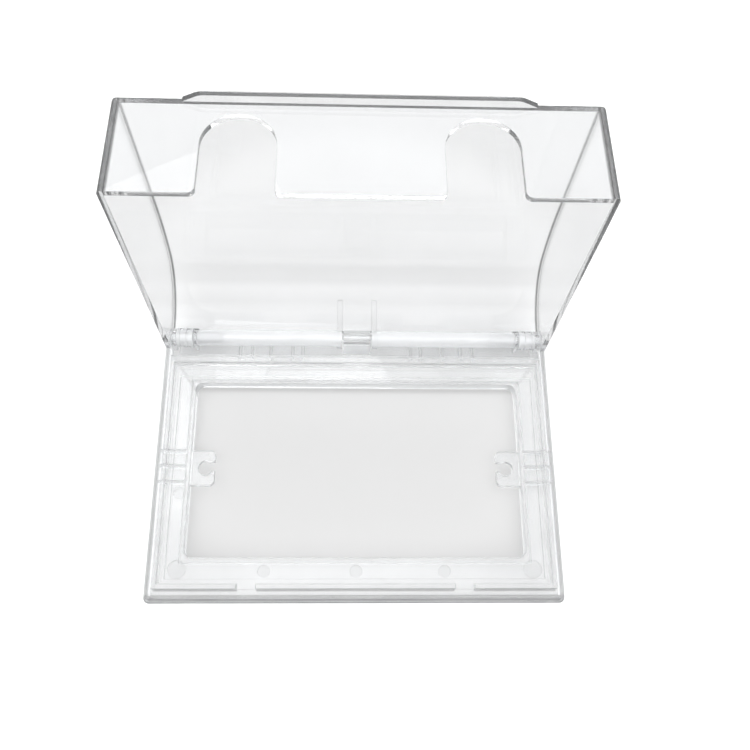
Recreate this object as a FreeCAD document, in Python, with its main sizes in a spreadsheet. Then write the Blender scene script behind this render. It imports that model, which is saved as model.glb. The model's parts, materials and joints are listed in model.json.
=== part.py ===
import FreeCAD, Part
import math
import os

import Sketcher

# Clear splash cover for a two-gang wall socket: a mounting frame that is clamped
# behind the socket's plate, and a box-shaped lid hinged along its upper edge.
#
# Millimetres. X runs along the hinge, Y up the wall towards the hinge, and Z out of
# the wall. The origin is on the wall, midway between the two fixing screws.
# The lid and its hinge pins are drawn closed and placed open, resting on the stop.

SIZES = {
    # mounting frame, seen from the front of the wall
    "base_width": 162.0,
    "base_front": 52.0,         # from the screws down to the lower edge
    "base_rear": 59.3,          # from the screws up to the hinge edge
    "base_corner": 2.5,
    "deck_height": 6.2,
    "skirt_inset": 1.55,        # how far the skirt leans in over the deck height
    "seat_outer": 2.3,          # offsets from the base outline
    "seat_inner": 4.6,
    "seat_depth": 0.3,
    "rim_outer": 4.6,
    "rim_step": 6.7,
    "rim_inner": 6.2,
    "rim_rear": 46.0,           # upper edge of the rim, from the screws
    "rim_rear_thick": 2.7,
    "rim_rear_step": 3.4,
    "rim_height": 3.3,
    "rim_step_height": 1.3,
    "drain_centre": 41.3,
    "drain_width": 7.4,
    "floor_inset": 8.5,
    "floor_rear": 38.2,
    "floor_depth": 0.8,
    "mark_depth": 0.5,          # ejector marks in the floor
    "mark_radius": 2.3,
    "corner_mark": 3.4,
    "window_width": 132.3,
    "window_depth": 70.8,
    "window_corner": 3.0,
    "window_wall": 2.0,
    # hollow underside
    "skirt_thick": 2.6,
    "hollow_depth": 3.5,
    "rib_thick": 1.0,
    # screw tabs
    "screw_spacing": 120.6,
    "screw_hole": 2.9,          # radius
    "tab_reach": 9.6,           # from the window's edge
    "tab_width": 14.2,
    "tab_bottom": 1.5,
    "tab_thick": 2.5,
    "tab_corner": 2.0,
    "mouth_low": 1.05,          # the side opening of the screw hole, about its centre
    "mouth_high": 2.5,
    # hinge
    "hinge_y": 53.4,
    "hinge_z": 10.5,
    "pin_radius": 1.5,
    "pin_inner": 55.6,
    "pin_play": 0.06,
    "trough_front": 47.9,
    "trough_rear": 56.75,
    "trough_half": 73.8,
    "trough_depth": 1.0,
    "stop_thick": 1.0,
    "stop_height": 7.85,
    "stop_inner": 9.5,
    "stop_outer": 65.0,
    "gate_west": -42.0,         # moulding gate, a pad in front of the stop bar
    "gate_width": 6.5,
    "gate_depth": 0.6,
    "outer_lug_x": 74.3,
    "outer_lug_thick": 2.0,
    "outer_lug_radius": 3.8,
    "inner_lug_x": 66.0,
    "inner_lug_thick": 1.2,
    "inner_lug_radius": 3.3,
    "block_width": 11.2,
    "block_top": 13.0,
    "block_front": 48.8,        # the block's section, from the screws
    "block_ridge_front": 52.2,
    "block_ridge_rear": 55.3,
    "block_rear": 56.6,
    "block_rear_top": 11.2,
    # lid, drawn closed
    "lid_width": 157.0,
    "wall": 2.0,
    "lid_front": 49.6,
    "lid_top": 42.9,
    "lid_gap": 0.05,            # between the closed lid and its seat
    "crown_start": 5.0,
    "bend_radius": 25.0,        # inside, where the cover turns down to the hinge
    "bend_centre_z": 13.8,
    "panel_inner_y": 53.7,
    "lid_edge_round": 1.5,
    "notch_centre": 37.8,
    "notch_width": 23.8,
    "notch_height": 30.2,
    "notch_round": 2.0,
    "lip_reach": 2.8,
    "lip_thick": 2.0,
    "lip_root": 56.3,
    "lip_tip": 50.5,
    "lip_round": 6.0,
    "barrel_radius": 3.2,
    "barrel_inner": 8.2,
    "barrel_outer": 65.7,
    "cheek_inner": 6.1,
    "cheek_radius": 4.0,
    "gusset_top": 27.0,
    "gusset_tip_front": 49.6,
    "gusset_tip_rear": 50.9,
    "gusset_bite": 0.6,         # how far a gusset runs into the cover
    "centre_cut": 3.9,
    "end_cut": 4.4,
    "cut_depth": 10.0,
    # ribbed sleeves on the pins, between the lugs
    "sleeve_start": 67.4,
    "sleeve_length": 6.7,
    "sleeve_radius": 4.0,
    "sleeve_groove": 0.6,
    "sleeve_play": 0.001,
    "open_angle": 94.2,         # how far the lid opens from the frame
    # working allowances
    "overlap": 1.0,             # how far one shape runs into or past another
    "sink": 0.2,                # how far a raised shape starts below its face
    "beyond": 3.0,              # how far outside the lid its cavity starts
}
# centres of the ribs under the frame: across each side, and across the hinge side
SIDE_RIBS = (-5.6, 0.8, 7.0)
HINGE_RIBS = (22.7, 27.0, 36.3, 44.0, 49.0)
# ejector marks: across, up, and the size that gives the radius
MARKS = (
    (-68.2, -39.9, "corner_mark"), (-35.2, -40.6, "mark_radius"), (0.0, -40.6, "mark_radius"),
    (34.0, -40.6, "mark_radius"), (68.2, -39.9, "corner_mark"), (-69.3, -10.5, "mark_radius"),
)
SLEEVE_RINGS = 5
SLACK = 0.01                    # for finding edges by their place

doc = FreeCAD.newDocument("SocketCover")
sheet = doc.addObject("Spreadsheet::Sheet", "Sizes")
for row, (alias, number) in enumerate(SIZES.items(), start=1):
    sheet.set(f"A{row}", alias)
    sheet.set(f"B{row}", str(number))
    sheet.setAlias(f"B{row}", alias)
worksheet = doc.addObject("Spreadsheet::Sheet", "Worksheet")
doc.recompute()


def cell(text):
    """Turn bare alias names into references to the sheet."""
    words = []
    token = ""
    for letter in text + " ":
        if letter.isalnum() or letter == "_":
            token += letter
            continue
        words.append(f"Sizes.{token}" if token in SIZES else token)
        words.append(letter)
        token = ""
    return "".join(words).strip()


def size(text):
    """The value of an expression, worked out in a sheet cell of its own."""
    worksheet.set("A1", "=" + cell(text))
    worksheet.recompute()
    return float(worksheet.get("A1"))


def new_body(label):
    """An empty PartDesign body with this label."""
    body = doc.addObject("PartDesign::Body", label)
    body.Label = label
    return body


def sketch_on(body, plane, name, offset="0"):
    """A sketch on one of the body's origin planes, moved along the plane's normal."""
    sketch = body.newObject("Sketcher::SketchObject", name)
    feature = next(f for f in body.Origin.OriginFeatures if f.Role == plane)
    sketch.AttachmentSupport = (feature, [""])
    sketch.MapMode = "FlatFace"
    sketch.setExpression("AttachmentOffset.Base.z", cell(offset))
    return sketch


def bind(sketch, kind, arguments, expression):
    """Add a dimension whose value is the expression."""
    value = size(expression)
    index = sketch.addConstraint(Sketcher.Constraint(kind, *arguments, value))
    sketch.setExpression(f"Constraints[{index}]", cell(expression))


def place(sketch, geometry, end, across, up):
    """Hold one point of the sketch at a position given by two expressions."""
    for kind, axis, expression in (("DistanceX", -2, across), ("DistanceY", -1, up)):
        value = size(expression)
        if abs(value) < 1e-9:
            sketch.addConstraint(Sketcher.Constraint("PointOnObject", geometry, end, axis))
        elif value > 0:
            bind(sketch, kind, (-1, 1, geometry, end), expression)
        else:
            bind(sketch, kind, (geometry, end, -1, 1), f"-({expression})")


def polygon(sketch, corners):
    """A closed loop of straight edges through corners given as pairs of expressions."""
    points = [FreeCAD.Vector(size(x), size(y), 0) for x, y in corners]
    first = sketch.GeometryCount
    count = len(points)
    for i in range(count):
        sketch.addGeometry(Part.LineSegment(points[i], points[(i + 1) % count]), False)
    for i in range(count):
        following = first + (i + 1) % count
        sketch.addConstraint(Sketcher.Constraint("Coincident", first + i, 2, following, 1))
    for i, (x, y) in enumerate(corners):
        place(sketch, first + i, 1, x, y)


def rectangle(sketch, west, east, south, north):
    """A rectangle between four edges given as expressions."""
    polygon(sketch, [(west, south), (east, south), (east, north), (west, north)])


def circle(sketch, across, up, radius):
    """A circle given by expressions for its centre and radius."""
    centre = FreeCAD.Vector(size(across), size(up), 0)
    normal = FreeCAD.Vector(0, 0, 1)
    index = sketch.addGeometry(Part.Circle(centre, normal, size(radius)), False)
    bind(sketch, "Radius", (index,), radius)
    place(sketch, index, 3, across, up)


def extrude(kind, name, sketch, length, symmetric=False, reverse=False):
    """Pad or pocket a sketch, and check that the solid grew or shrank."""
    body = sketch.getParentGeoFeatureGroup()
    before = body.Shape.Volume if body.Tip else 0.0
    feature = body.newObject(f"PartDesign::{kind}", name)
    feature.Profile = sketch
    feature.setExpression("Length", cell(length))
    if symmetric:
        feature.SideType = "Symmetric"
    feature.Reversed = reverse
    doc.recompute()
    change = body.Shape.Volume - before
    if (change <= 0) if kind == "Pad" else (change >= 0):
        raise RuntimeError(f"{name} changes the volume by {change:.3f}")
    return feature


def fillet(body, name, radius, chosen):
    """Round the edges of the body that a test picks by their middle point."""
    base = body.Tip
    edges = []
    for number, edge in enumerate(base.Shape.Edges, start=1):
        middle = edge.valueAt((edge.FirstParameter + edge.LastParameter) / 2)
        if chosen(middle, edge):
            edges.append(f"Edge{number}")
    feature = body.newObject("PartDesign::Fillet", name)
    feature.Base = (base, edges)
    feature.setExpression("Radius", cell(radius))
    doc.recompute()
    return feature


def is_upright(edge):
    """Does a straight edge run along Z?"""
    box = edge.BoundBox
    return box.XLength < SLACK and box.YLength < SLACK


def at_corner(point, across, up):
    """Is the point at one of the four corners (+-across, +-up)?"""
    return abs(abs(point.x) - across) < SLACK and abs(abs(point.y) - up) < SLACK


# ---------------------------------------------------------------- mounting frame

frame = new_body("mounting_frame")
HALF = "base_width / 2"


def inset_rectangle(sketch, offset, rear):
    """A rectangle set in from the base outline, ending at the given upper edge."""
    rectangle(sketch, f"-({HALF} - {offset})", f"{HALF} - {offset}",
              f"-(base_front - {offset})", rear)


outline = sketch_on(frame, "XY_Plane", "BaseOutline")
rectangle(outline, f"-{HALF}", HALF, "-base_front", "base_rear")
deck = extrude("Pad", "Deck", outline, "deck_height")
deck.setExpression("TaperAngle", cell("-atan(skirt_inset / deck_height)"))
doc.recompute()
lean = size("skirt_inset / 2")
corner_x = size(HALF) - lean
front_y = size("base_front") - lean
rear_y = size("base_rear") - lean
fillet(frame, "BaseCorners", "base_corner",
       lambda p, e: at_corner(p, corner_x, front_y) or at_corner(p, corner_x, rear_y))

# seat for the lid's free edges, along both sides and the lower edge
seat = sketch_on(frame, "XY_Plane", "SeatOutline", "deck_height")
SEAT_OUT = f"({HALF} - seat_outer)"
SEAT_IN = f"({HALF} - seat_inner)"
polygon(seat, [
    (f"-{SEAT_OUT}", "base_rear + overlap"), (f"-{SEAT_OUT}", "-(base_front - seat_outer)"),
    (SEAT_OUT, "-(base_front - seat_outer)"), (SEAT_OUT, "base_rear + overlap"),
    (SEAT_IN, "base_rear + overlap"), (SEAT_IN, "-(base_front - seat_inner)"),
    (f"-{SEAT_IN}", "-(base_front - seat_inner)"), (f"-{SEAT_IN}", "base_rear + overlap"),
])
extrude("Pocket", "LidSeat", seat, "seat_depth")

# weather rim round the socket plate, with a lower step inside it
for name, inner, rear, height in (
    ("RimStep", "rim_step", "rim_rear - rim_rear_step", "rim_step_height"),
    ("Rim", "rim_inner", "rim_rear - rim_rear_thick", "rim_height"),
):
    ring = sketch_on(frame, "XY_Plane", f"{name}Outline", "deck_height - sink")
    inset_rectangle(ring, "rim_outer", "rim_rear")
    inset_rectangle(ring, inner, rear)
    extrude("Pad", name, ring, f"{height} + sink")

drains = sketch_on(frame, "XY_Plane", "DrainOutline", "deck_height + rim_height")
for side in ("-", ""):
    near = f"{side}(drain_centre - drain_width / 2)"
    far = f"{side}(drain_centre + drain_width / 2)"
    rectangle(drains, near, far, "-(base_front - rim_outer + overlap)",
              "-(base_front - rim_step - overlap)")
extrude("Pocket", "DrainGaps", drains, "rim_height")

floor = sketch_on(frame, "XY_Plane", "FloorOutline", "deck_height")
inset_rectangle(floor, "floor_inset", "floor_rear")
extrude("Pocket", "Floor", floor, "floor_depth")

trough = sketch_on(frame, "XY_Plane", "TroughOutline", "deck_height")
rectangle(trough, "-trough_half", "trough_half", "trough_front", "trough_rear")
extrude("Pocket", "HingeTrough", trough, "trough_depth")

window = sketch_on(frame, "XY_Plane", "WindowOutline")
rectangle(window, "-window_width / 2", "window_width / 2",
          "-window_depth / 2", "window_depth / 2")
extrude("Pocket", "Window", window, "deck_height + overlap", reverse=True)
window_x = size("window_width / 2")
window_y = size("window_depth / 2")
fillet(frame, "WindowCorners", "window_corner",
       lambda p, e: is_upright(e) and at_corner(p, window_x, window_y))

# hollow underside, between the skirt and the window's wall, with stiffening ribs
hollow = sketch_on(frame, "XY_Plane", "HollowOutline")
inset_rectangle(hollow, "skirt_thick", "base_rear - skirt_thick")
WALL_X = "(window_width / 2 + window_wall)"
WALL_Y = "(window_depth / 2 + window_wall)"
rectangle(hollow, f"-{WALL_X}", WALL_X, f"-{WALL_Y}", WALL_Y)
extrude("Pocket", "Hollow", hollow, "hollow_depth", reverse=True)

ribs = sketch_on(frame, "XY_Plane", "RibOutline")
for centre in SIDE_RIBS:
    for side in ("-", ""):
        rectangle(ribs, f"{side}(window_width / 2 + overlap)",
                  f"{side}({HALF} - 2 * overlap)",
                  f"{centre} - rib_thick / 2", f"{centre} + rib_thick / 2")
for centre in HINGE_RIBS:
    for side in ("-", ""):
        rectangle(ribs, f"{side}({centre} - rib_thick / 2)",
                  f"{side}({centre} + rib_thick / 2)", "rim_rear + overlap",
                  "base_rear - 2 * overlap")
extrude("Pad", "UndersideRibs", ribs, "hollow_depth + sink")

# screw tabs in the window, each with a round hole that opens sideways
TAB_END = "(window_width / 2 - tab_reach)"
tabs = sketch_on(frame, "XY_Plane", "TabOutline", "tab_bottom")
for side in ("-", ""):
    rectangle(tabs, f"{side}{TAB_END}", f"{side}(window_width / 2 + overlap)",
              "-tab_width / 2", "tab_width / 2")
extrude("Pad", "ScrewTabs", tabs, "tab_thick")
tab_x = size(TAB_END)
tab_y = size("tab_width / 2")
fillet(frame, "TabCorners", "tab_corner",
       lambda p, e: is_upright(e) and at_corner(p, tab_x, tab_y))
holes = sketch_on(frame, "XY_Plane", "ScrewHoles", "tab_bottom")
mouths = sketch_on(frame, "XY_Plane", "ScrewMouths", "tab_bottom")
for side in ("-", ""):
    circle(holes, f"{side}screw_spacing / 2", "0", "screw_hole")
    rectangle(mouths, f"{side}({TAB_END} - overlap)", f"{side}screw_spacing / 2",
              "-mouth_low", "mouth_high")
extrude("Pocket", "Holes", holes, "tab_thick", reverse=True)
extrude("Pocket", "Mouths", mouths, "tab_thick", reverse=True)

# ejector marks in the floor
marks = sketch_on(frame, "XY_Plane", "EjectorMarks", "deck_height - floor_depth")
for across, up, radius in MARKS:
    circle(marks, str(across), str(up), radius)
extrude("Pocket", "Marks", marks, "mark_depth")

# stop bar behind the hinge, which the open lid's back leans on
stop = sketch_on(frame, "XY_Plane", "StopOutline", "deck_height - trough_depth")
for side in ("-", ""):
    rectangle(stop, f"{side}stop_inner", f"{side}stop_outer",
              "trough_rear", "trough_rear + stop_thick")
rectangle(stop, "gate_west", "gate_west + gate_width",
          "trough_rear - gate_depth", "trough_rear")
extrude("Pad", "StopBar", stop, "stop_height - deck_height + trough_depth")


def lug_profile(sketch, radius, foot):
    """An upright with a round head about the hinge line, in the YZ plane."""
    r = size(radius)
    y, z = SIZES["hinge_y"], SIZES["hinge_z"]
    z_foot = size(foot)
    vector = FreeCAD.Vector
    sketch.addGeometry([
        Part.Arc(Part.Circle(vector(y, z, 0), vector(0, 0, 1), r), 0, math.pi),
        Part.LineSegment(vector(y - r, z, 0), vector(y - r, z_foot, 0)),
        Part.LineSegment(vector(y - r, z_foot, 0), vector(y + r, z_foot, 0)),
        Part.LineSegment(vector(y + r, z_foot, 0), vector(y + r, z, 0)),
    ], False)
    sketch.addConstraint([
        Sketcher.Constraint("Tangent", 0, 2, 1, 1),
        Sketcher.Constraint("Coincident", 1, 2, 2, 1),
        Sketcher.Constraint("Coincident", 2, 2, 3, 1),
        Sketcher.Constraint("Tangent", 3, 2, 0, 1),
        Sketcher.Constraint("Vertical", 1),
        Sketcher.Constraint("Horizontal", 2),
    ])
    bind(sketch, "Radius", (0,), radius)
    place(sketch, 0, 3, "hinge_y", "hinge_z")
    bind(sketch, "DistanceY", (-1, 1, 1, 2), foot)


for label, start, thick, radius in (
    ("OuterLug", "outer_lug_x", "outer_lug_thick", "outer_lug_radius"),
    ("InnerLug", "inner_lug_x", "inner_lug_thick", "inner_lug_radius"),
):
    for hand, offset in (("Right", start), ("Left", f"-({start} + {thick})")):
        profile = sketch_on(frame, "YZ_Plane", f"{label}{hand}Profile", offset)
        lug_profile(profile, radius, "deck_height - trough_depth - overlap")
        extrude("Pad", f"{label}{hand}", profile, thick)

LUG_END = "(outer_lug_x + outer_lug_thick + overlap)"
for hand, offset in (("Right", "inner_lug_x - overlap"), ("Left", f"-{LUG_END}")):
    bore = sketch_on(frame, "YZ_Plane", f"PinBore{hand}Outline", offset)
    circle(bore, "hinge_y", "hinge_z", "pin_radius + pin_play")
    extrude("Pocket", f"PinBore{hand}", bore, f"{LUG_END} - inner_lug_x + overlap",
            reverse=True)

# centre block between the lid's cheeks, with a sloping front
block = sketch_on(frame, "YZ_Plane", "BlockProfile")
polygon(block, [
    ("block_front", "deck_height - trough_depth - sink"), ("block_ridge_front", "block_top"),
    ("block_ridge_rear", "block_top"), ("block_rear", "block_rear_top"),
    ("block_rear", "deck_height - trough_depth - sink"),
])
extrude("Pad", "CentreBlock", block, "block_width", symmetric=True)


# ---------------------------------------------------------------- lid, drawn closed

lid = new_body("cover_lid")
LID_SEAT = "(deck_height - seat_depth + lid_gap)"


def cover_profile(sketch, thickness, front, tail, foot=""):
    """The cover's section: upright front, level crown, two bends and the hinge side.

    thickness is added outside the inner face of the crown and bends. tail lists the
    corners from the hinge side to the last one before the foot of the front wall, which
    is level with it. foot is the radius about the hinge line that rounds the corner
    between the first two of them.
    """
    vector = FreeCAD.Vector
    t = size(thickness)
    top = size("lid_top - wall") + t
    y_front = size(front)
    start = SIZES["crown_start"]
    y_back = SIZES["panel_inner_y"] + t
    low = SIZES["bend_radius"] + t
    c_low = vector(SIZES["panel_inner_y"] - SIZES["bend_radius"], SIZES["bend_centre_z"], 0)
    # the upper bend touches the level crown at its start and the lower bend inside
    reach = c_low.x - start
    drop = top - c_low.y
    high = (reach ** 2 + drop ** 2 - low ** 2) / (2 * (drop - low))
    c_high = vector(start, top - high, 0)
    angle = math.atan2(c_low.y - c_high.y, c_low.x - c_high.x)
    corners = [vector(size(y), size(z), 0) for y, z in tail]
    first = vector(y_front, corners[-1].y, 0)
    shapes = [
        Part.LineSegment(first, vector(y_front, top, 0)),
        Part.LineSegment(vector(y_front, top, 0), vector(start, top, 0)),
        Part.Arc(Part.Circle(c_high, vector(0, 0, 1), high), angle, math.pi / 2),
        Part.Arc(Part.Circle(c_low, vector(0, 0, 1), low), 0, angle),
        Part.LineSegment(vector(y_back, c_low.y, 0), corners[0]),
    ]
    for here, there in zip(corners, corners[1:] + [first]):
        shapes.append(Part.LineSegment(here, there))
    if foot:
        pivot = vector(SIZES["hinge_y"], SIZES["hinge_z"], 0)
        around = Part.Circle(pivot, vector(0, 0, 1), size(foot))
        away = corners[0] - pivot
        shapes[5] = Part.Arc(around, -math.pi / 2, math.atan2(away.y, away.x))
    sketch.addGeometry(shapes, False)
    last = len(shapes) - 1
    joins = [
        ("Coincident", 0, 2, 1, 1), ("Tangent", 1, 2, 2, 2),
        ("Tangent", 2, 1, 3, 2), ("Tangent", 3, 1, 4, 1),
    ]
    if foot:
        joins += [("Coincident", 4, 2, 5, 2), ("Tangent", 5, 1, 6, 1)]
    plain = 6 if foot else 4
    joins += [("Coincident", i, 2, i + 1, 1) for i in range(plain, last)]
    joins += [("Coincident", last, 2, 0, 1)]
    for join in joins:
        sketch.addConstraint(Sketcher.Constraint(*join))
    sketch.addConstraint(Sketcher.Constraint("Horizontal", 1))
    bind(sketch, "Radius", (3,), f"bend_radius + {thickness}")
    place(sketch, 3, 3, "panel_inner_y - bend_radius", "bend_centre_z")
    place(sketch, 1, 1, front, f"lid_top - wall + {thickness}")
    bind(sketch, "DistanceX", (-1, 1, 1, 2), "crown_start")
    if foot:
        bind(sketch, "Radius", (5,), foot)
        place(sketch, 5, 3, "hinge_y", "hinge_z")
    for i, (y, z) in enumerate(tail):
        if i > 1 or not foot:
            place(sketch, 5 + i, 1, y, z)
    place(sketch, 0, 1, front, tail[-1][1])


FOOT = f"(hinge_z - {LID_SEAT})"
FOOT_SIDE = f"hinge_z - sqrt({FOOT} ^ 2 - (panel_inner_y + wall - hinge_y) ^ 2)"
section = sketch_on(lid, "YZ_Plane", "CoverSection")
cover_profile(section, "wall", "-lid_front", [
    ("panel_inner_y + wall", FOOT_SIDE), ("hinge_y", LID_SEAT),
], foot=FOOT)
extrude("Pad", "Cover", section, "lid_width", symmetric=True)
side_x = size("lid_width / 2") - SLACK
crown_z = size("lid_top") - SLACK
bend_z = size("bend_centre_z")
front_out = SLACK - size("lid_front")
fillet(lid, "CoverEdges", "lid_edge_round",
       lambda p, e: p.z > bend_z and (abs(p.x) > side_x or p.y < front_out and p.z > crown_z))
cavity = sketch_on(lid, "YZ_Plane", "CavitySection")
cover_profile(cavity, "0", "-(lid_front - wall)", [
    ("panel_inner_y", "hinge_z"), ("hinge_y + 2 * beyond", "hinge_z"),
    ("hinge_y + 2 * beyond", "deck_height - beyond"),
])
extrude("Pocket", "Cavity", cavity, "lid_width - 2 * wall", symmetric=True)

# clearance in the cover's lower edge for the centre block and the ribbed sleeves
CUTS = (
    ("Centre", "-cheek_inner", "cheek_inner", "centre_cut"),
    ("Right", "barrel_outer", "lid_width / 2 - wall", "end_cut"),
    ("Left", "-(lid_width / 2 - wall)", "-barrel_outer", "end_cut"),
)
for name, west, east, height in CUTS:
    cut = sketch_on(lid, "XZ_Plane", f"{name}CutOutline", "-hinge_y")
    rectangle(cut, west, east, "deck_height", f"hinge_z + {height}")
    extrude("Pocket", f"{name}Cut", cut, "cut_depth", symmetric=True)

# cable notches through the lower wall, each with a round head and rounded mouth
notches = sketch_on(lid, "XZ_Plane", "NotchOutline", "lid_front - wall / 2")
heads = sketch_on(lid, "XZ_Plane", "NotchHeads", "lid_front - wall / 2")
HEAD_Z = f"{LID_SEAT} + notch_height - notch_width / 2"
for side in ("-", ""):
    rectangle(notches, f"{side}(notch_centre - notch_width / 2)",
              f"{side}(notch_centre + notch_width / 2)", "deck_height - beyond", HEAD_Z)
    circle(heads, f"{side}notch_centre", HEAD_Z, "notch_width / 2")
extrude("Pocket", "Notches", notches, "2 * wall", symmetric=True)
extrude("Pocket", "NotchTops", heads, "2 * wall", symmetric=True)
front_in = SLACK - size("lid_front - wall")
foot_z = size(LID_SEAT)
notch_x = size("notch_centre + notch_width / 2") + SLACK
fillet(lid, "NotchMouths", "notch_round",
       lambda p, e: p.y < front_in and abs(p.z - foot_z) < SLACK
       and e.BoundBox.XLength < SLACK and abs(p.x) < notch_x)

# pull lip along the lower edge of the cover
lip = sketch_on(lid, "XY_Plane", "LipOutline", "lid_top")
polygon(lip, [
    ("-lip_root", "-lid_front + wall"), ("-lip_root", "-lid_front"),
    ("-lip_tip", "-lid_front - lip_reach"), ("lip_tip", "-lid_front - lip_reach"),
    ("lip_root", "-lid_front"), ("lip_root", "-lid_front + wall"),
])
extrude("Pad", "PullLip", lip, "lip_thick", reverse=True)
lip_x = size("lip_tip")
lip_y = size("lid_front + lip_reach")
fillet(lid, "LipCorners", "lip_round",
       lambda p, e: is_upright(e) and at_corner(p, lip_x, lip_y))

# hinge barrels, cheeks beside the centre block, and gussets up the cover
for hand, low, high in (("Right", "barrel_inner", "barrel_outer"),
                        ("Left", "-barrel_outer", "-barrel_inner")):
    barrel = sketch_on(lid, "YZ_Plane", f"Barrel{hand}Outline", low)
    circle(barrel, "hinge_y", "hinge_z", "barrel_radius")
    extrude("Pad", f"Barrel{hand}", barrel, f"{high} - ({low})")
for hand, low in (("Right", "cheek_inner"), ("Left", "-barrel_inner")):
    cheek = sketch_on(lid, "YZ_Plane", f"Cheek{hand}Outline", low)
    circle(cheek, "hinge_y", "hinge_z", "cheek_radius")
    extrude("Pad", f"Cheek{hand}", cheek, "barrel_inner - cheek_inner")
    gusset = sketch_on(lid, "YZ_Plane", f"Gusset{hand}Outline", low)
    polygon(gusset, [
        ("hinge_y - cheek_radius + sink", "hinge_z + overlap"),
        ("gusset_tip_front", "gusset_top"), ("gusset_tip_rear", "gusset_top"),
        ("panel_inner_y + gusset_bite", "bend_centre_z + 2 * overlap"),
        ("panel_inner_y + gusset_bite", "hinge_z + overlap"),
    ])
    extrude("Pad", f"Gusset{hand}", gusset, "barrel_inner - cheek_inner")

# holes that grip the pins, from the side walls through to the barrels
for hand, offset in (("Right", "pin_inner"), ("Left", "-lid_width / 2 - overlap")):
    grip = sketch_on(lid, "YZ_Plane", f"PinGrip{hand}Outline", offset)
    circle(grip, "hinge_y", "hinge_z", "pin_radius")
    extrude("Pocket", f"PinGrip{hand}", grip, "lid_width / 2 + overlap - pin_inner", reverse=True)


# ---------------------------------------------------------------- hinge pins and sleeves

def turned(label, start, steps):
    """A turned piece on the hinge line: rings of (length, outer radius, bore radius)."""
    body = new_body(label)
    position = start
    for number, (length, outer, bore) in enumerate(steps):
        ring = sketch_on(body, "YZ_Plane", f"{label}_ring{number}", position)
        circle(ring, "hinge_y", "hinge_z", outer)
        if bore:
            circle(ring, "hinge_y", "hinge_z", bore)
        extrude("Pad", f"{label}_step{number}", ring, length)
        position = f"{position} + {length}"
    return body


RING = f"sleeve_length / {SLEEVE_RINGS}"
RIDGE = (RING, "sleeve_radius", "pin_radius + sleeve_play")
GROOVE = (RING, "sleeve_radius - sleeve_groove", "pin_radius + sleeve_play")
PIN_LENGTH = "lid_width / 2 - pin_inner"
moving = [lid]
for hand, pin_start, sleeve_start in (
    ("left", "-lid_width / 2", "-(sleeve_start + sleeve_length)"),
    ("right", "pin_inner", "sleeve_start"),
):
    moving.append(turned(f"hinge_pin_{hand}", pin_start, [(PIN_LENGTH, "pin_radius", "")]))
    moving.append(turned(f"hinge_sleeve_{hand}", sleeve_start,
                         [(RIDGE, GROOVE)[ring % 2] for ring in range(SLEEVE_RINGS)]))

# everything that turns with the lid is placed open, about the hinge line
hinge = FreeCAD.Vector(0, SIZES["hinge_y"], SIZES["hinge_z"])
opening = FreeCAD.Rotation(FreeCAD.Vector(1, 0, 0), -SIZES["open_angle"])
for body in moving:
    body.Placement = FreeCAD.Placement(FreeCAD.Vector(), opening, hinge)
doc.recompute()

# ---------------------------------------------------------------- checks and files

for item in doc.Objects:
    if {"Invalid", "Error"} & set(item.State):
        raise RuntimeError(f"{item.Label} failed to build: {item.State}")

os.makedirs("parts", exist_ok=True)
for body in [frame] + moving:
    shape = body.Shape
    if shape.isNull() or not shape.isValid() or len(shape.Solids) != 1:
        raise RuntimeError(f"{body.Label} isn't one valid solid")
    shape.exportStep(f"parts/{body.Label}.step")
    print(body.Label, round(shape.Volume, 1), shape.BoundBox)
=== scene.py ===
"""Studio scene of a clear splash cover for a double wall socket, its lid standing open."""
import json
import math

import bpy
from mathutils import Matrix, Vector


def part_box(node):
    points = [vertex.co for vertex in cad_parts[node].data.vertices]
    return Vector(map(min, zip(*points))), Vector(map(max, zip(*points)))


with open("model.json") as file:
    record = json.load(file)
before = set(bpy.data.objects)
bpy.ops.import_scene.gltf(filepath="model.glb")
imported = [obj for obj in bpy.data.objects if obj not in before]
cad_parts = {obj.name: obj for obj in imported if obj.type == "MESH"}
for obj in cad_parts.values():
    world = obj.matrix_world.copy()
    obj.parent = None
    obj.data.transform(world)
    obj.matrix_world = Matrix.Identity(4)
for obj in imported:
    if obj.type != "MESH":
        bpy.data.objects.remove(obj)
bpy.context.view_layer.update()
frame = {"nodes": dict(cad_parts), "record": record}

MM = 0.001
HAIR = 0.05 * MM            # how near a point has to be to count as on a face

# places on the cover, as in the CAD
FRAME_LOW, FRAME_HIGH = (Vector(corner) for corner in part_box("mounting_frame"))
WINDOW_X = 132.3 / 2 * MM
WINDOW_Y = 70.8 / 2 * MM
MARK_LEVEL = 4.9 * MM       # floors of the ejector marks
RIM_X = 76.4 * MM           # outer faces of the weather rim
RIM_Y = -47.4 * MM
DRAIN_X = 41.3 * MM         # middles of the rim's drain gaps
DRAIN_HALF = 3.7 * MM
HINGE_Y = 53.4 * MM
HINGE_Z = 10.5 * MM
BARREL_REACH = 4.1 * MM     # the barrels lie within this of the hinge line
BARREL_SKIN = 3.2 * MM      # and their outer faces lie beyond this
SIDE_WALL_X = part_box("cover_lid")[1][0] - 2.0 * MM

# bounds on the Z of a face's normal
UPRIGHT = 0.2               # an upright face has less than this, up or down
FACING_DOWN = -0.5          # a face that looks down has less than this
LOW_FRONT = 0.22            # the lower front of a barrel has less than this

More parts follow.
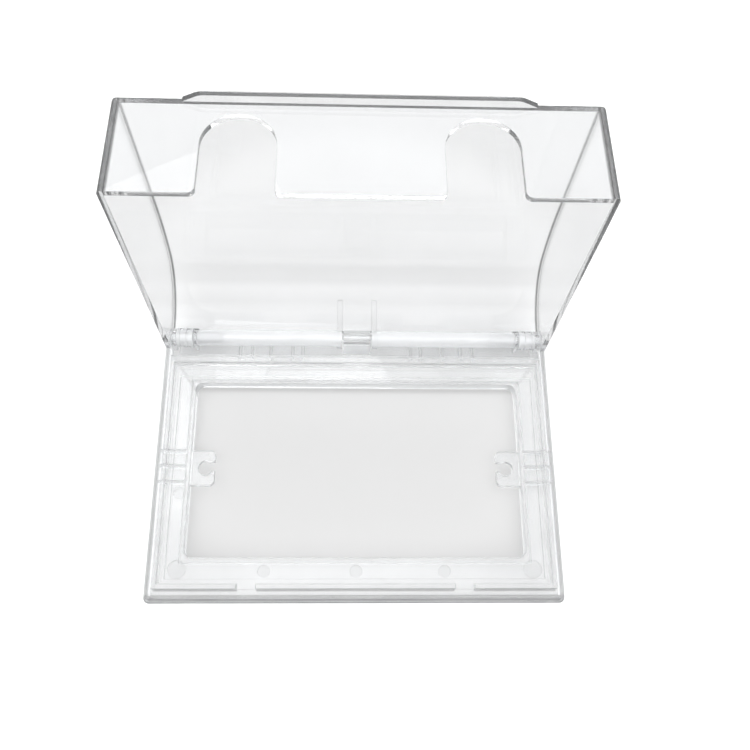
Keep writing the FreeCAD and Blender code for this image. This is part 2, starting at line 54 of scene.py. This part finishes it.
# the plastic
REFRACTION = 1.49
TINT = (0.965, 0.97, 0.975)
DUST = (0.84, 0.85, 0.86, 1)
MURK = 6.0                  # how fast light dies inside the plastic, per metre
WAVE_SCALE = 35.0           # the mould's slow waves, and the fine grain on them
GRAIN_SCALE = 900.0
GRAIN_HEIGHT = 0.004        # against the height of the waves
RIPPLE_DEPTH = 0.4 * MM
EDGE_SAMPLES = 4
EDGE_BENT = 0.75            # cosine of the surface's bend where the painted edge shade is darkest
EDGE_FLAT = 0.99            # and where the plain face begins
CAST_LIGHT = [(0.35, 0.95), (0.9, 0.6)]     # light left in the shadow, by slant of the wall

# added haze, and how much light is let in, at certain places; on the barrels, in front of the rim
# and in the lid's inner corners this is painted shade
WALL_HAZE = 0.4
BARREL_HAZE = 0.3
MARK_HAZE = 0.05
MARK_TONE = 0.87
# painted shade on the hinge barrels' outer faces
BARREL_SHADE = 0.89
UNDER_SHADE = 0.4            # painted shade along the lower front of the barrels
RIM_SHADOW = 0.45            # how dark the painted shadow lines in front of the rim are
SEAM_SHADE = 0.8            # how dark the painted shade in the lid's inner corners is

# brightness of the paper
PAPER_FLOOR = 0.95          # round the cover, where the eye meets it directly
PAPER_UNDER = 0.56          # painted shade under the front half of the cover
PAPER_BACK = 0.70           # lighter painted shade behind the hinge

# factors on the paper's brightness at certain places: painted shadows and painted light
SKIRT_SHADE = 0.33          # painted shadow under the frame's front skirt
RING_FRONT = 1.23           # painted light under the ring round the window
RING_REAR = 1.17
RING_LEFT = 0.98
RING_RIGHT = 0.92
RING_PATCHES = 0.1
# painted light just behind the hinge
BEHIND_HINGE = 1.14
WINDOW_REAR = 0.84
WINDOW_FRONT = 1.04

# painted falloff of light: factors on the paper's brightness by distance from the middle of the
# frame's rear edge
FAR_MIRRORED = [(0.10, 1.0), (0.15, 0.93), (0.19, 0.04)]
FAR_STRAIGHT = [(0.095, 1.0), (0.12, 0.9)]

# the white tent
TENT = 2.08
TENT_HEIGHTS = [(0.0, 0.02), (0.38, 0.17), (0.66, 0.80), (0.86, 0.80), (0.96, 1.0)]
TENT_SIDE = (0.8, -0.6, 0.0)                # to the right and towards the viewer
TENT_LEAN = -0.03                           # how much brighter it is on that side
BACKDROP = 0.85             # what is seen straight through the cover

# the camera, and the lamp over the cover
EYE = Vector((-3.66, -76.55, 318.25)) * MM
EYE_TURN = math.radians(-5.58)
EYE_TILT = math.radians(20.43)
EYE_ROLL = math.radians(5.66)
LENS = 38.4
SENSOR = 36.0
LAMP_PLACE = (-0.25, 0.45, 0.9)
LAMP_TARGET = (0, 0.03, 0)
LAMP_SIZE = 0.5
LAMP_POWER = 1.5


# ---------------------------------------------------------------- node helpers

def node(tree, kind, **inputs):
    """A shader node with input values set by name, spaces written as underscores."""
    made = tree.nodes.new(kind)
    for name, value in inputs.items():
        made.inputs[name.replace("_", " ")].default_value = value
    return made


def maths(tree, operation, first, second=None, third=None):
    """The result of a Math node on sockets or numbers."""
    made = tree.nodes.new("ShaderNodeMath")
    made.operation = operation
    for socket, value in zip(made.inputs, (first, second, third)):
        if value is None:
            continue
        if isinstance(value, (int, float)):
            socket.default_value = value
        else:
            tree.links.new(value, socket)
    return made.outputs[0]


def vector_maths(tree, operation, first, second):
    """The number a Vector Math node makes of a socket and a second socket or fixed vector."""
    made = tree.nodes.new("ShaderNodeVectorMath")
    made.operation = operation
    tree.links.new(first, made.inputs[0])
    if isinstance(second, tuple):
        made.inputs[1].default_value = second
    else:
        tree.links.new(second, made.inputs[1])
    return made.outputs["Value"]


def product(tree, first, *others):
    """All the numbers multiplied together, which for tests of 0 or 1 is 1 where all hold."""
    result = first
    for other in others:
        result = maths(tree, "MULTIPLY", result, other)
    return result


def blend(tree, share, first, second):
    """first where share is 0, second where it is 1."""
    change = maths(tree, "SUBTRACT", second, first)
    return maths(tree, "MULTIPLY_ADD", share, change, first)


def band(tree, value, start, end, before, after):
    """A number that goes smoothly from before to after as value goes from start to end."""
    made = tree.nodes.new("ShaderNodeMapRange")
    made.interpolation_type = "SMOOTHSTEP"
    for name, number in (("From Min", start), ("From Max", end),
                         ("To Min", before), ("To Max", after)):
        made.inputs[name].default_value = number
    tree.links.new(value, made.inputs["Value"])
    return made.outputs[0]


def ramp(tree, factor, stops, smooth=False):
    """A Color Ramp's grey output for a list of (position, brightness)."""
    made = tree.nodes.new("ShaderNodeValToRGB")
    made.color_ramp.interpolation = "EASE" if smooth else "LINEAR"
    points = made.color_ramp.elements
    while len(points) < len(stops):
        points.new(0.5)
    for point, (position, value) in zip(points, stops):
        point.position = position
        point.color = (value, value, value, 1)
    tree.links.new(factor, made.inputs[0])
    return made.outputs[0]


def noise(tree, place, scale, detail):
    """A soft random pattern over place."""
    made = node(tree, "ShaderNodeTexNoise", Scale=scale, Detail=detail)
    tree.links.new(place, made.inputs["Vector"])
    return made.outputs[0]


def apart(tree, vector):
    """The X, Y and Z outputs of a vector socket."""
    made = tree.nodes.new("ShaderNodeSeparateXYZ")
    tree.links.new(vector, made.inputs[0])
    return made.outputs


def within(tree, spot, centre, half_x, half_y):
    """1 in an upright rectangle about centre, 0 outside it."""
    off_x = maths(tree, "ABSOLUTE", maths(tree, "SUBTRACT", spot["X"], centre.x))
    off_y = maths(tree, "ABSOLUTE", maths(tree, "SUBTRACT", spot["Y"], centre.y))
    return product(tree, maths(tree, "LESS_THAN", off_x, half_x),
                   maths(tree, "LESS_THAN", off_y, half_y))


def seen_straight(tree):
    """1 on what the eye sees, directly or through clear walls, and 0 on what is mirrored."""
    path = tree.nodes.new("ShaderNodeLightPath").outputs
    bounces = maths(tree, "ADD", path["Glossy Depth"], path["Diffuse Depth"])
    onward = maths(tree, "ADD", path["Is Camera Ray"], path["Is Transmission Ray"])
    return product(tree, onward, maths(tree, "LESS_THAN", bounces, 0.5))


# ---------------------------------------------------------------- the plastic

def on_mark(tree, spot):
    """1 on the floor of an ejector mark, 0 elsewhere."""
    level = maths(tree, "ABSOLUTE", maths(tree, "SUBTRACT", spot["Z"], MARK_LEVEL))
    return maths(tree, "LESS_THAN", level, HAIR)


def frame_haze(tree, spot, facing):
    """Added haze of the frame: its rough ejector marks and its satin upright faces."""
    wall = maths(tree, "LESS_THAN", maths(tree, "ABSOLUTE", facing["Z"]), UPRIGHT)
    return maths(tree, "MULTIPLY_ADD", on_mark(tree, spot), MARK_HAZE,
                 product(tree, wall, WALL_HAZE))


def frame_tone(tree, spot, facing):
    """How much light the frame's faces let in: less in its marks, and a painted shadow line in
    front of its rim.
    """
    mark = maths(tree, "MULTIPLY_ADD", on_mark(tree, spot), MARK_TONE - 1.0, 1.0)
    across = maths(tree, "ABSOLUTE", spot["X"])
    from_drain = maths(tree, "ABSOLUTE", maths(tree, "SUBTRACT", across, DRAIN_X))
    # painted shadow line on the seat just in front of the rim, broken at the drain gaps
    line = product(tree,
                   band(tree, spot["Y"], RIM_Y - 0.9 * MM, RIM_Y - 0.3 * MM, 0.0, RIM_SHADOW),
                   maths(tree, "LESS_THAN", spot["Y"], RIM_Y + HAIR),
                   maths(tree, "GREATER_THAN", from_drain, DRAIN_HALF),
                   maths(tree, "LESS_THAN", across, RIM_X))
    return product(tree, mark, maths(tree, "SUBTRACT", 1.0, line))


def from_hinge(tree, spot):
    """The distance from the hinge line, squared."""
    up = maths(tree, "SUBTRACT", spot["Y"], HINGE_Y)
    out = maths(tree, "SUBTRACT", spot["Z"], HINGE_Z)
    return maths(tree, "MULTIPLY_ADD", up, up, product(tree, out, out))


def lid_haze(tree, spot, facing):
    """Added haze of the lid: its satin hinge barrels and cheeks."""
    barrel = maths(tree, "LESS_THAN", from_hinge(tree, spot), BARREL_REACH ** 2)
    return product(tree, barrel, BARREL_HAZE)


def barrel_tone(tree, spot, facing):
    """Painted shade on the hinge barrels' outer faces, which let in less light, least along their
    lower front.
    """
    reach = from_hinge(tree, spot)
    skin = product(tree, maths(tree, "LESS_THAN", reach, BARREL_REACH ** 2),
                   maths(tree, "GREATER_THAN", reach, BARREL_SKIN ** 2))
    # painted shade along the barrels' lower front
    under = product(tree, maths(tree, "LESS_THAN", facing["Y"], 0.0),
                    maths(tree, "LESS_THAN", facing["Z"], LOW_FRONT))
    return blend(tree, skin, 1.0, blend(tree, under, BARREL_SHADE, UNDER_SHADE))


def lid_tone(tree, spot, facing):
    """How much light the lid's faces let in: less where painted shade lies along its side walls'
    inner corners and on its barrels.
    """
    across = maths(tree, "ABSOLUTE", spot["X"])
    start = SIDE_WALL_X - 1.0 * MM
    # painted shade along the lid's inner corners at its side walls
    line = product(tree,
                   band(tree, across, start, start + 0.6 * MM, 0.0, SEAM_SHADE),
                   maths(tree, "LESS_THAN", across, SIDE_WALL_X - HAIR),
                   maths(tree, "GREATER_THAN", facing["Z"], FACING_DOWN))
    return product(tree, maths(tree, "SUBTRACT", 1.0, line), barrel_tone(tree, spot, facing))


def clear_plastic(name, haze, roughness, ripple, edge_size, edge_tone,
                  more_haze=None, tones=None):
    """Injection-moulded clear plastic: glass-like, with a little haze and mould ripple.

    Within edge_size of an edge it lets in less light, down to edge_tone: a painted shade
    along the edges. more_haze and tones are functions of the tree, the place and the
    normal that give a place's added haze and how much of the light it lets in, which at
    some places is painted shade.
    """
    mat = bpy.data.materials.new(name)
    mat.use_nodes = True
    tree = mat.node_tree
    links = tree.links
    tree.nodes.clear()
    place = tree.nodes.new("ShaderNodeTexCoord").outputs["Object"]
    true_normal = tree.nodes.new("ShaderNodeNewGeometry").outputs["True Normal"]
    spot = apart(tree, place)
    facing = apart(tree, true_normal)

    # slow waves with a fine grain, and a painted shade along the edges
    waves = noise(tree, place, WAVE_SCALE, 1.0)
    grain = noise(tree, place, GRAIN_SCALE, 2.0)
    bump = node(tree, "ShaderNodeBump", Strength=ripple, Distance=RIPPLE_DEPTH)
    links.new(maths(tree, "MULTIPLY_ADD", grain, GRAIN_HEIGHT, waves), bump.inputs["Height"])
    soft_edge = node(tree, "ShaderNodeBevel", Radius=edge_size)
    soft_edge.samples = EDGE_SAMPLES
    bend = vector_maths(tree, "DOT_PRODUCT", soft_edge.outputs[0], true_normal)
    tone = ramp(tree, bend, [(EDGE_BENT, edge_tone), (EDGE_FLAT, 1.0)])
    if tones:
        tone = product(tree, tone, tones(tree, spot, facing))
    tinted = node(tree, "ShaderNodeVectorMath")
    tinted.operation = "SCALE"
    tinted.inputs[0].default_value = TINT
    links.new(tone, tinted.inputs["Scale"])

    # clear glass, with a share of white dust in it
    glass = node(tree, "ShaderNodeBsdfPrincipled", IOR=REFRACTION, Transmission_Weight=1.0)
    links.new(tinted.outputs[0], glass.inputs["Base Color"])
    links.new(bump.outputs[0], glass.inputs["Normal"])
    links.new(maths(tree, "MULTIPLY_ADD", grain, 0.5 * roughness, 0.75 * roughness),
              glass.inputs["Roughness"])
    dust = node(tree, "ShaderNodeBsdfDiffuse", Color=DUST)
    cloud = product(tree, waves, 2 * haze)
    if more_haze:
        cloud = maths(tree, "ADD", cloud, more_haze(tree, spot, facing))
    body = tree.nodes.new("ShaderNodeMixShader")
    links.new(cloud, body.inputs[0])
    links.new(glass.outputs[0], body.inputs[1])
    links.new(dust.outputs[0], body.inputs[2])

    # a faint shadow: light passes, and less of it through slanting walls
    slant = node(tree, "ShaderNodeLayerWeight", Blend=0.5)
    passing = tree.nodes.new("ShaderNodeBsdfTransparent")
    links.new(ramp(tree, slant.outputs["Facing"], CAST_LIGHT), passing.inputs["Color"])
    path = tree.nodes.new("ShaderNodeLightPath")
    surface = tree.nodes.new("ShaderNodeMixShader")
    links.new(path.outputs["Is Shadow Ray"], surface.inputs[0])
    links.new(body.outputs[0], surface.inputs[1])
    links.new(passing.outputs[0], surface.inputs[2])

    inner = node(tree, "ShaderNodeVolumeAbsorption", Color=(0, 0, 0, 1), Density=MURK)
    out = tree.nodes.new("ShaderNodeOutputMaterial")
    links.new(surface.outputs[0], out.inputs["Surface"])
    links.new(inner.outputs[0], out.inputs["Volume"])
    return mat


# ---------------------------------------------------------------- the paper

def skirt_factor(tree, spot, straight):
    """Painted shadow under the frame's front skirt, though not ahead of or beside it when seen
    straight.
    """
    low, high = FRAME_LOW, FRAME_HIGH
    ahead = maths(tree, "LESS_THAN", spot["Y"], low.y - 1 * MM)
    beside = maths(tree, "GREATER_THAN", maths(tree, "ABSOLUTE", spot["X"]), high.x)
    bare = product(tree, straight, maths(tree, "MAXIMUM", ahead, beside))
    shade = band(tree, spot["Y"], low.y + 0.5 * MM, low.y + 4.2 * MM, SKIRT_SHADE, 1.0)
    return blend(tree, bare, shade, 1.0)


def ring_factor(tree, place, spot, on_ring):
    """Light gathered under the ring round the window, in faint patches."""
    low, high = FRAME_LOW, FRAME_HIGH
    patches = maths(tree, "MULTIPLY_ADD", noise(tree, place, 70.0, 1.0), RING_PATCHES, 0.95)
    lit = product(tree,
                  band(tree, spot["Y"], low.y, high.y, RING_FRONT, RING_REAR),
                  band(tree, spot["X"], low.x, high.x, RING_LEFT, RING_RIGHT),
                  patches)
    return blend(tree, on_ring, 1.0, lit)


def hinge_factor(tree, spot):
    """A painted strip of light just behind the hinge."""
    start = FRAME_HIGH.y
    strip = band(tree, spot["Y"], start + 9 * MM, start + 17 * MM, BEHIND_HINGE, 1.0)
    return blend(tree, maths(tree, "GREATER_THAN", spot["Y"], start), 1.0, strip)


def window_factor(tree, spot, window):
    """A soft shadow along the window's rear edge and a faint glow from its front edge on."""
    rear = band(tree, spot["Y"], WINDOW_Y - 2.8 * MM, WINDOW_Y - 0.5 * MM, 1.0, WINDOW_REAR)
    glow = band(tree, spot["Y"], -WINDOW_Y, 6 * MM - WINDOW_Y, WINDOW_FRONT, 1.0)
    return product(tree, blend(tree, window, 1.0, rear), glow)


def table_paper():
    """Pale paper, greyer with painted shade where it lies under the cover or is seen through it.
    """
    mat = bpy.data.materials.new("table_paper")
    mat.use_nodes = True
    tree = mat.node_tree
    shader = tree.nodes["Principled BSDF"]
    shader.inputs["Roughness"].default_value = 0.95
    shader.inputs["Specular IOR Level"].default_value = 0.1
    place = tree.nodes.new("ShaderNodeTexCoord").outputs["Object"]
    spot = apart(tree, place)
    straight = seen_straight(tree)
    middle = (FRAME_LOW + FRAME_HIGH) / 2
    half = (FRAME_HIGH - FRAME_LOW) / 2 - Vector((2, 2, 0)) * MM
    inside = within(tree, spot, middle, half.x, half.y)
    window = within(tree, spot, Vector((0, 0, 0)), WINDOW_X, WINDOW_Y)
    on_ring = product(tree, inside, maths(tree, "SUBTRACT", 1.0, window))

    away = vector_maths(tree, "DISTANCE", place, (middle.x, FRAME_HIGH.y, 0))
    # painted falloff of light away from the cover
    far = blend(tree, straight, ramp(tree, away, FAR_MIRRORED, smooth=True),
                ramp(tree, away, FAR_STRAIGHT, smooth=True))
    shade = product(tree,
                    band(tree, spot["Y"], middle.y, FRAME_HIGH.y + 30 * MM,
                         PAPER_UNDER, PAPER_BACK),
                    far,
                    skirt_factor(tree, spot, straight),
                    ring_factor(tree, place, spot, on_ring),
                    hinge_factor(tree, spot),
                    window_factor(tree, spot, window))
    direct = tree.nodes.new("ShaderNodeLightPath").outputs["Is Camera Ray"]
    outside = product(tree, direct, maths(tree, "SUBTRACT", 1.0, inside))
    tree.links.new(blend(tree, outside, shade, PAPER_FLOOR), shader.inputs["Base Color"])
    return mat


# ---------------------------------------------------------------- stage

def area_light(name, place, target, size, power):
    """A soft square lamp at place that faces target and isn't mirrored in the cover."""
    data = bpy.data.lights.new(name, "AREA")
    data.shape = "SQUARE"
    data.size = size
    data.energy = power
    lamp = bpy.data.objects.new(name, data)
    bpy.context.scene.collection.objects.link(lamp)
    lamp.location = place
    lamp.visible_glossy = False
    aim = Vector(target) - Vector(place)
    lamp.rotation_euler = aim.to_track_quat("-Z", "Y").to_euler()


def camera():
    """The eye in front of the cover and well above it, looking down with a slight turn."""
    data = bpy.data.cameras.new("camera")
    data.sensor_width = SENSOR
    data.lens = LENS
    data.clip_start = 0.01
    data.clip_end = 20.0
    eye = bpy.data.objects.new("camera", data)
    bpy.context.scene.collection.objects.link(eye)
    turn = Matrix.Rotation(EYE_TURN, 4, "Z")
    tilt = Matrix.Rotation(EYE_TILT, 4, "X")
    roll = Matrix.Rotation(EYE_ROLL, 4, "Z")
    eye.matrix_world = Matrix.Translation(EYE) @ turn @ tilt @ roll
    bpy.context.scene.camera = eye


def table():
    """A wide sheet of pale paper, a hair below the cover's underside."""
    bpy.ops.mesh.primitive_plane_add(size=4.0, location=(0, 0, -0.5 * MM))
    plane = bpy.context.object
    plane.name = "table"
    plane.data.materials.append(table_paper())


def surround():
    """A white tent: bright overhead, dark low down, and pale where it is seen straight."""
    world = bpy.data.worlds.new("tent")
    bpy.context.scene.world = world
    world.use_nodes = True
    tree = world.node_tree
    back = tree.nodes["Background"]
    back.inputs["Color"].default_value = (1, 1, 1, 1)
    place = tree.nodes.new("ShaderNodeTexCoord").outputs["Generated"]
    height = ramp(tree, apart(tree, place)["Z"], TENT_HEIGHTS, smooth=True)
    sideways = vector_maths(tree, "DOT_PRODUCT", place, TENT_SIDE)
    side = maths(tree, "MULTIPLY_ADD", sideways, TENT_LEAN, 1.0)
    tent = product(tree, height, side, TENT)
    tree.links.new(blend(tree, seen_straight(tree), tent, BACKDROP), back.inputs["Strength"])


for slot, settings in {
    "clear_frame": dict(haze=0.03, roughness=0.01, ripple=0.0, edge_size=0.35 * MM,
                        edge_tone=0.5, more_haze=frame_haze, tones=frame_tone),
    "clear_lid": dict(haze=0.02, roughness=0.01, ripple=0.01, edge_size=0.5 * MM,
                      edge_tone=0.68, more_haze=lid_haze, tones=lid_tone),
    "clear_pin": dict(haze=0.05, roughness=0.05, ripple=0.01, edge_size=0.3 * MM,
                      edge_tone=0.6),
    "clear_sleeve": dict(haze=0.35, roughness=0.06, ripple=0.01, edge_size=0.5 * MM,
                         edge_tone=0.15),
}.items():
    plastic = clear_plastic(slot, **settings)
    for part in frame["record"]["subparts"]:
        if part["material_slot"] == slot:
            mesh = frame["nodes"][part["node"]].data
            mesh.materials.clear()
            mesh.materials.append(plastic)

table()
surround()
area_light("overhead", LAMP_PLACE, LAMP_TARGET, LAMP_SIZE, LAMP_POWER)
camera()

render = bpy.context.scene
render.view_settings.view_transform = "Standard"
render.cycles.transmission_bounces = 24
render.cycles.glossy_bounces = 24
render.cycles.max_bounces = 32
render.cycles.transparent_max_bounces = 24
